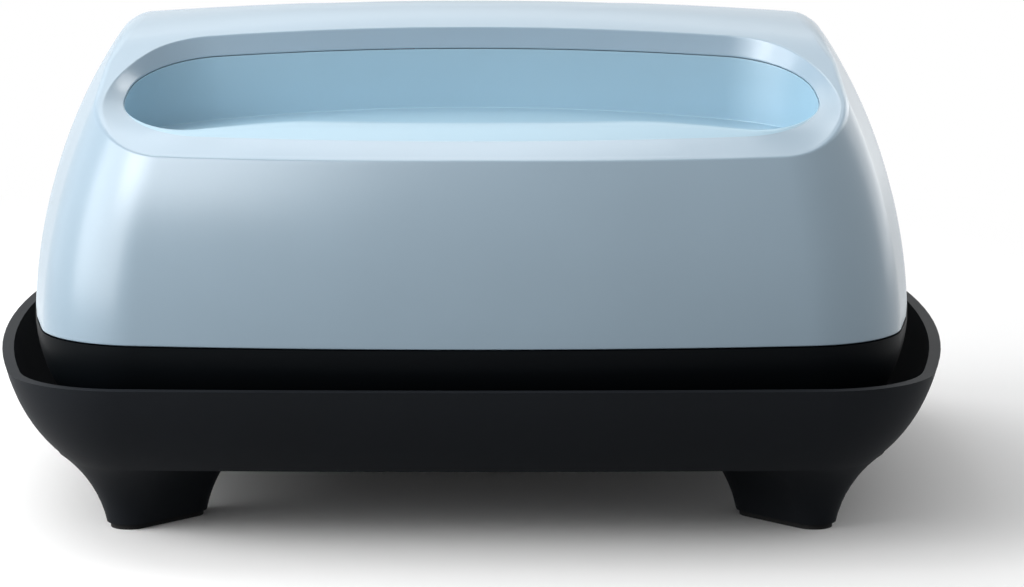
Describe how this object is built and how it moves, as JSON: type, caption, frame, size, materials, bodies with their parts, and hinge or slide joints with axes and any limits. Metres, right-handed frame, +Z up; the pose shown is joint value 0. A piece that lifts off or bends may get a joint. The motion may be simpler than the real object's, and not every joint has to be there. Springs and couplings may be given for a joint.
{
  "type": "handheld heat press",
  "caption": "Handheld heat press seated in its footed stand: rounded shell with two finger pockets, a handle bar between them, a rear control panel and a flat heat plate.",
  "frame": {"origin": "on the floor, under the middle of the stand", "axes": "+X to the right along the long side, +Y to the back, +Z up"},
  "size_m": [0.3554, 0.3024, 0.1817],
  "materials": {
    "shell_plastic": "smooth gloss moulding",
    "liner_plastic": "smooth satin moulding",
    "skirt_plastic": "satin heat-resistant moulding",
    "stand_plastic": "fine matte moulding",
    "pad_rubber": "soft matte",
    "silicone": "matte silicone",
    "bezel_plastic": "gloss panel",
    "button_plastic": "satin",
    "window_glass": "smoked window",
    "plate_coating": "ceramic-coated cast aluminium",
    "sheet_metal": "rolled sheet",
    "screw_steel": "zinc plated",
    "element_sheath": "annealed tube",
    "standoff_brass": "turned",
    "sensor_metal": "drawn can",
    "glass_fibre": "glass-fibre felt",
    "deck_plastic": "moulded",
    "board_laminate": "solder resist",
    "relay_case": "moulded",
    "module_case": "moulded",
    "terminal_case": "moulded",
    "sink_aluminium": "extruded, anodised",
    "lead_insulation": "silicone and film insulation"
  },
  "bodies": {
    "stand": {"stand_tray": "stand_plastic", "foot_pads": "pad_rubber", "rest_pads": "silicone", "heat_deflector": "sheet_metal", "deflector_screws": "screw_steel"},
    "press": {"board_standoffs": "standoff_brass", "buzzer": "module_case", "control_bezel": "bezel_plastic", "control_board": "board_laminate", "control_board_screws": "screw_steel", "cord_clamp": "skirt_plastic", "cord_clamp_screws": "screw_steel", "cord_gland": "skirt_plastic", "display_module": "module_case", "display_window": "window_glass", "element_leads": "lead_insulation", "front_liner": "liner_plastic", "gland_nut": "skirt_plastic", "heat_plate": "plate_coating", "heat_shield": "sheet_metal", "heat_sink": "sink_aluminium", "inner_deck": "deck_plastic", "inner_heating_element": "element_sheath", "insulation_blanket": "glass_fibre", "liner_screws": "screw_steel", "outer_heating_element": "element_sheath", "plate_screws": "screw_steel", "plate_standoffs": "standoff_brass", "power_board": "board_laminate", "power_board_screws": "screw_steel", "power_relay": "relay_case", "rear_liner": "liner_plastic", "ribbon_cable": "lead_insulation", "sensor_leads": "lead_insulation", "shell_screws": "screw_steel", "shield_screws": "screw_steel", "skirt": "skirt_plastic", "supply_module": "module_case", "tactile_switches": "module_case", "temperature_sensor": "sensor_metal", "terminal_block": "terminal_case", "thermal_cutout": "sensor_metal", "upper_shell": "shell_plastic"},
    "power_button": {"power_button": "button_plastic"},
    "temperature_button": {"temperature_button": "button_plastic"},
    "timer_button": {"timer_button": "button_plastic"},
    "minus_button": {"minus_button": "button_plastic"},
    "plus_button": {"plus_button": "button_plastic"},
    "start_button": {"start_button": "button_plastic"}
  },
  "joints": [
    {"name": "press_lift", "type": "slide", "parent": "stand", "child": "press", "axis": [0, 0, 1], "range_m": [0, 0.12]},
    {"name": "power_button_travel", "type": "slide", "parent": "press", "child": "power_button", "axis": [0, -0.1719, -0.9851], "range_m": [0, 0.0008], "stiffness_N_per_m": 400, "springref_m": -0.0005},
    {"name": "temperature_button_travel", "type": "slide", "parent": "press", "child": "temperature_button", "axis": [0, -0.1719, -0.9851], "range_m": [0, 0.0008], "stiffness_N_per_m": 400, "springref_m": -0.0005},
    {"name": "timer_button_travel", "type": "slide", "parent": "press", "child": "timer_button", "axis": [0, -0.1719, -0.9851], "range_m": [0, 0.0008], "stiffness_N_per_m": 400, "springref_m": -0.0005},
    {"name": "minus_button_travel", "type": "slide", "parent": "press", "child": "minus_button", "axis": [0, -0.1719, -0.9851], "range_m": [0, 0.0008], "stiffness_N_per_m": 400, "springref_m": -0.0005},
    {"name": "plus_button_travel", "type": "slide", "parent": "press", "child": "plus_button", "axis": [0, -0.1719, -0.9851], "range_m": [0, 0.0008], "stiffness_N_per_m": 400, "springref_m": -0.0005},
    {"name": "start_button_travel", "type": "slide", "parent": "press", "child": "start_button", "axis": [0, -0.1719, -0.9851], "range_m": [0, 0.0008], "stiffness_N_per_m": 400, "springref_m": -0.0005}
  ]
}
